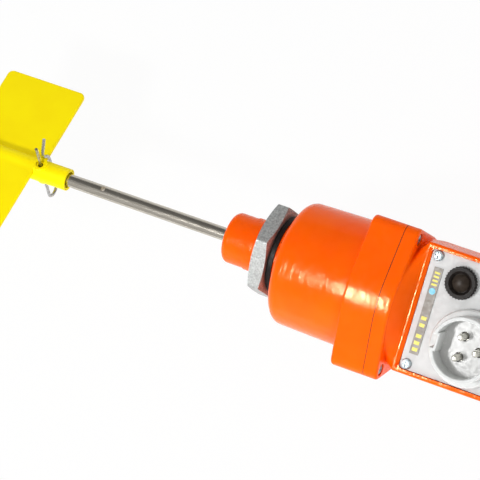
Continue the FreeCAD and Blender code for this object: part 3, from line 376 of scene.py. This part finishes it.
# %% Drawn stainless steel
ALONG = (0.04, 1.0, 1.0)
stainless_steel = new_finish("stainless_steel", colour=(0.58, 0.54, 0.47), roughness=0.18, metallic=1.0)
mottle(stainless_steel, grain_mm=0.8, dark=(0.52, 0.48, 0.41), light=(0.64, 0.60, 0.53), detail=4.0,
       stretch=ALONG)
gloss(stainless_steel, grain_mm=0.5, smooth=0.14, rough=0.24, detail=4.0, stretch=ALONG)
relief(stainless_steel, grain_mm=0.4, height_mm=0.006, detail=3.0, stretch=ALONG)
dress(stainless_steel, "shaft", "motor_shaft")

# %% [markdown]
# The wire clip, the open rings, the pins and the springs are hard spring steel. It is darker and more
# even than the shaft, with a light drift from handling.

# %% Spring steel
spring_steel = new_finish("spring_steel", colour=(0.50, 0.50, 0.49), roughness=0.28, metallic=1.0)
mottle(spring_steel, grain_mm=2.0, dark=(0.42, 0.42, 0.41), light=(0.58, 0.58, 0.57))
gloss(spring_steel, grain_mm=0.6, smooth=0.2, rough=0.38)
dress(spring_steel, "spring_clip", "retaining_ring", "swivel_ring", "return_spring", "button_spring",
      "coupling_pin", "stop_pins")

# %% [markdown]
# The lock nut is a hot-dipped galvanised casting. Its zinc has a fine sparkle of light and dark grains
# and a sandy surface. A real spangle has facets, but at the size of a grain here noise with much detail
# looks the same, and a second, coarser relief stands for the casting under it.

# %% Galvanised iron
galvanised_iron = new_finish("galvanised_iron", colour=(0.39, 0.405, 0.39), roughness=0.5, metallic=0.45,
                             sheen=0.2)
mottle(galvanised_iron, grain_mm=1.4, dark=(0.31, 0.32, 0.315), light=(0.49, 0.51, 0.50), detail=4.0)
gloss(galvanised_iron, grain_mm=1.6, smooth=0.38, rough=0.62, detail=4.0)
relief(galvanised_iron, grain_mm=1.4, height_mm=0.3, detail=4.0)
relief(galvanised_iron, grain_mm=5.0, height_mm=0.2)
dress(galvanised_iron, "lock_nut")

# %% [markdown]
# The sealing ring and the gaskets are black rubber: nearly no colour, a dull sheen and a fine skin.

# %% Black rubber
black_rubber = new_finish("black_rubber", colour=(0.008, 0.007, 0.007), roughness=0.5, sheen=0.2)
mottle(black_rubber, grain_mm=3.0, dark=(0.005, 0.005, 0.005), light=(0.014, 0.013, 0.013))
gloss(black_rubber, grain_mm=1.5, smooth=0.38, rough=0.62)
relief(black_rubber, grain_mm=0.5, height_mm=0.02)
dress(black_rubber, "sealing_ring", "shaft_seal", "flange_gasket", "panel_gasket", "inlet_gasket")

# %% [markdown]
# All screws are zinc plate, which is a little blue. A polished head would mirror the strip lamp as one
# white spot, while the heads in the panel's corners show their cross, so the plate is satin.

# %% Zinc plated screws
zinc_screw = new_finish("zinc_screw", colour=(0.51, 0.58, 0.61), roughness=0.5, metallic=1.0)
mottle(zinc_screw, grain_mm=1.4, dark=(0.42, 0.49, 0.52), light=(0.60, 0.67, 0.70))
gloss(zinc_screw, grain_mm=0.9, smooth=0.42, rough=0.58)
dress(zinc_screw, "bridge_screws", "motor_screws", "switch_screws", "flange_screws", "panel_screws",
      "terminal_screws")

# %% [markdown]
# Inside the drum are bronze bushings, plated steel plates and the zinc cans of motor and gearbox. The
# picture doesn't show them, but the exploded part does, so each has the finish that it has in a shop.

# %% Metals inside
bronze = new_finish("bronze", colour=(0.52, 0.33, 0.15), roughness=0.3, metallic=1.0)
mottle(bronze, grain_mm=1.5, dark=(0.45, 0.28, 0.12), light=(0.58, 0.38, 0.18))
gloss(bronze, grain_mm=0.8, smooth=0.22, rough=0.42)
dress(bronze, "front_bushing", "rear_bushing")

bright_steel = new_finish("bright_steel", colour=(0.55, 0.56, 0.56), roughness=0.32, metallic=1.0)
mottle(bright_steel, grain_mm=2.5, dark=(0.48, 0.49, 0.49), light=(0.62, 0.63, 0.63))
gloss(bright_steel, grain_mm=1.0, smooth=0.24, rough=0.42)
dress(bright_steel, "coupling_sleeve", "bridge_plate", "swivel_carrier")

motor_zinc = new_finish("motor_zinc", colour=(0.50, 0.50, 0.51), roughness=0.38, metallic=1.0)
mottle(motor_zinc, grain_mm=3.0, dark=(0.42, 0.42, 0.43), light=(0.58, 0.58, 0.59))
gloss(motor_zinc, grain_mm=1.0, smooth=0.3, rough=0.48)
dress(motor_zinc, "gearbox_case", "motor_can")

# %% [markdown]
# The panel is a light grey plate with a fine satin grain. It faces the camera, so its grey and its low
# gloss are chosen to stay under white where the strip is mirrored in it.

# %% Panel
panel_grey = new_finish("panel_grey", colour=(0.60, 0.61, 0.605), roughness=0.42, sheen=0.22)
mottle(panel_grey, grain_mm=8.0, dark=(0.58, 0.59, 0.585), light=(0.62, 0.63, 0.625))
gloss(panel_grey, grain_mm=3.0, smooth=0.34, rough=0.52)
relief(panel_grey, grain_mm=0.5, height_mm=0.015)
dress(panel_grey, "panel_plate")

# %% [markdown]
# The inlet's body is pale moulded plastic. Its insulator, with the pins in it, and the terminal block
# inside are a smoother moulding. The pins are nickel plated, a warm metal with a soft shine.

# %% Inlet
inlet_plastic = new_finish("inlet_plastic", colour=(0.60, 0.61, 0.60), roughness=0.38, sheen=0.2)
mottle(inlet_plastic, grain_mm=6.0, dark=(0.57, 0.58, 0.57), light=(0.63, 0.64, 0.63))
gloss(inlet_plastic, grain_mm=2.5, smooth=0.3, rough=0.48)
relief(inlet_plastic, grain_mm=0.6, height_mm=0.012)
dress(inlet_plastic, "inlet_body", "inlet_ring_nut")

insulator_plastic = new_finish("insulator_plastic", colour=(0.60, 0.60, 0.59), roughness=0.2)
mottle(insulator_plastic, grain_mm=6.0, dark=(0.57, 0.57, 0.56), light=(0.63, 0.63, 0.62))
gloss(insulator_plastic, grain_mm=2.5, smooth=0.14, rough=0.28)
dress(insulator_plastic, "inlet_insulator", "terminal_block")

bright_contact = new_finish("bright_contact", colour=(0.84, 0.82, 0.74), roughness=0.32, metallic=0.75)
mottle(bright_contact, grain_mm=1.2, dark=(0.80, 0.78, 0.70), light=(0.88, 0.86, 0.78))
gloss(bright_contact, grain_mm=0.6, smooth=0.26, rough=0.38)
dress(bright_contact, "inlet_pins", "button_terminals")

# %% [markdown]
# The button has a knurled black ring and a smoked cap. The cap could be glass, but behind it is only the
# dark button, so an opaque satin with a brown tint looks the same and renders faster.

# %% Button and switches
button_plastic = new_finish("button_plastic", colour=(0.012, 0.009, 0.008), roughness=0.45, sheen=0.12)
mottle(button_plastic, grain_mm=2.0, dark=(0.008, 0.006, 0.005), light=(0.018, 0.014, 0.012))
gloss(button_plastic, grain_mm=1.0, smooth=0.36, rough=0.58)
relief(button_plastic, grain_mm=0.4, height_mm=0.015)
dress(button_plastic, "button_bezel", "button_body", "signal_switch", "stop_switch")

smoked_dome = new_finish("smoked_dome", colour=(0.03, 0.022, 0.016), roughness=0.36, sheen=0.1)
mottle(smoked_dome, grain_mm=3.0, dark=(0.024, 0.017, 0.012), light=(0.038, 0.028, 0.021))
gloss(smoked_dome, grain_mm=1.5, smooth=0.32, rough=0.42)
dress(smoked_dome, "button_cap")

# %% [markdown]
# Under the cap is a coil spring. In the solids it is a plain wound wall, and here it is a coil of round
# wire: a small circle, screwed about the button's axis. A curve with a bevel would do as well, but the
# screw is made as a mesh.

# %% Button spring
wire_radius = 0.45 * MM
wire_sides = 12
coil_turns = 4
steps_per_turn = 28

coil_low, coil_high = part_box("button_spring")
coil_axis = (coil_low + coil_high) / 2
coil_radius = (coil_high.x - coil_low.x) / 2 - wire_radius
coil_height = coil_high.z - coil_low.z
coil_rise = coil_height - 2 * wire_radius


def coil(shape):
    start = Vector((coil_axis.x + coil_radius, coil_axis.y, coil_low.z + wire_radius))
    across = Matrix.Translation(start) @ Matrix.Rotation(math.pi / 2, 4, "X")
    bmesh.ops.create_circle(shape, segments=wire_sides, radius=wire_radius, matrix=across)
    steps = coil_turns * steps_per_turn
    bmesh.ops.spin(shape, geom=shape.verts[:] + shape.edges[:], cent=coil_axis, axis=(0, 0, 1),
                   dvec=(0, 0, coil_rise / steps), angle=coil_turns * 2 * math.pi, steps=steps)
    bmesh.ops.holes_fill(shape, edges=[edge for edge in shape.edges if edge.is_boundary])


spring_coil = new_piece("button_coil", spring_steel, coil)
spring_coil.data.shade_smooth()
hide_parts("button_spring")
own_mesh(spring_coil)
print("coil height:", round(spring_coil.dimensions.z / MM, 3), "of", round(coil_height / MM, 3))

# %% [markdown]
# A thin grey-brown label runs along the panel's edge, with plain yellow bars and a blue dot printed on it.
# They could be drawn in the label's material, but as thin pieces they keep a crisp edge at any distance.

# %% Label
label_film = new_finish("label_film", colour=(0.26, 0.24, 0.21), roughness=0.4, sheen=0.25)
mottle(label_film, grain_mm=5.0, dark=(0.23, 0.21, 0.18), light=(0.30, 0.28, 0.25))
gloss(label_film, grain_mm=2.0, smooth=0.32, rough=0.5)
relief(label_film, grain_mm=0.6, height_mm=0.01)
dress(label_film, "label_strip")

print_yellow = new_finish("print_yellow", colour=(0.80, 0.72, 0.06), roughness=0.45)
mottle(print_yellow, grain_mm=2.0, dark=(0.72, 0.64, 0.04), light=(0.86, 0.78, 0.09))
gloss(print_yellow, grain_mm=1.0, smooth=0.38, rough=0.54)
print_blue = new_finish("print_blue", colour=(0.08, 0.52, 0.72), roughness=0.4)
mottle(print_blue, grain_mm=2.0, dark=(0.06, 0.46, 0.66), light=(0.11, 0.58, 0.78))
gloss(print_blue, grain_mm=1.0, smooth=0.34, rough=0.5)

ink_thick = 0.08 * MM
bar_across = 4.0 * MM
upper_along = 1.5 * MM
lower_along = 2.6 * MM
bar_bevel = 0.02 * MM
bevel_steps = 2
dot_radius = 2.4 * MM
dot_sides = 40
dot_share = 0.27
upper_shares = (0.06, 0.105, 0.15, 0.195)
lower_shares = (0.585, 0.665, 0.79, 0.87, 0.945)

strip_low, strip_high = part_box("label_strip")
strip_middle = (strip_low.x + strip_high.x) / 2
strip_long = strip_high.y - strip_low.y


def on_strip(share):
    return Vector((strip_middle, strip_high.y - share * strip_long, strip_high.z + ink_thick / 2))


def bars(shape):
    for shares, along in ((upper_shares, upper_along), (lower_shares, lower_along)):
        size = Matrix.Diagonal((bar_across, along, ink_thick, 1))
        for share in shares:
            bmesh.ops.create_cube(shape, size=1.0, matrix=Matrix.Translation(on_strip(share)) @ size)
    bmesh.ops.bevel(shape, geom=list(shape.edges), offset=bar_bevel, segments=bevel_steps, profile=0.5,
                    affect="EDGES", material=-1)


def dot(shape):
    bmesh.ops.create_cone(shape, cap_ends=True, segments=dot_sides, radius1=dot_radius, radius2=dot_radius,
                          depth=ink_thick, matrix=Matrix.Translation(on_strip(dot_share)))


new_piece("label_bars", print_yellow, bars)
new_piece("label_dot", print_blue, dot)
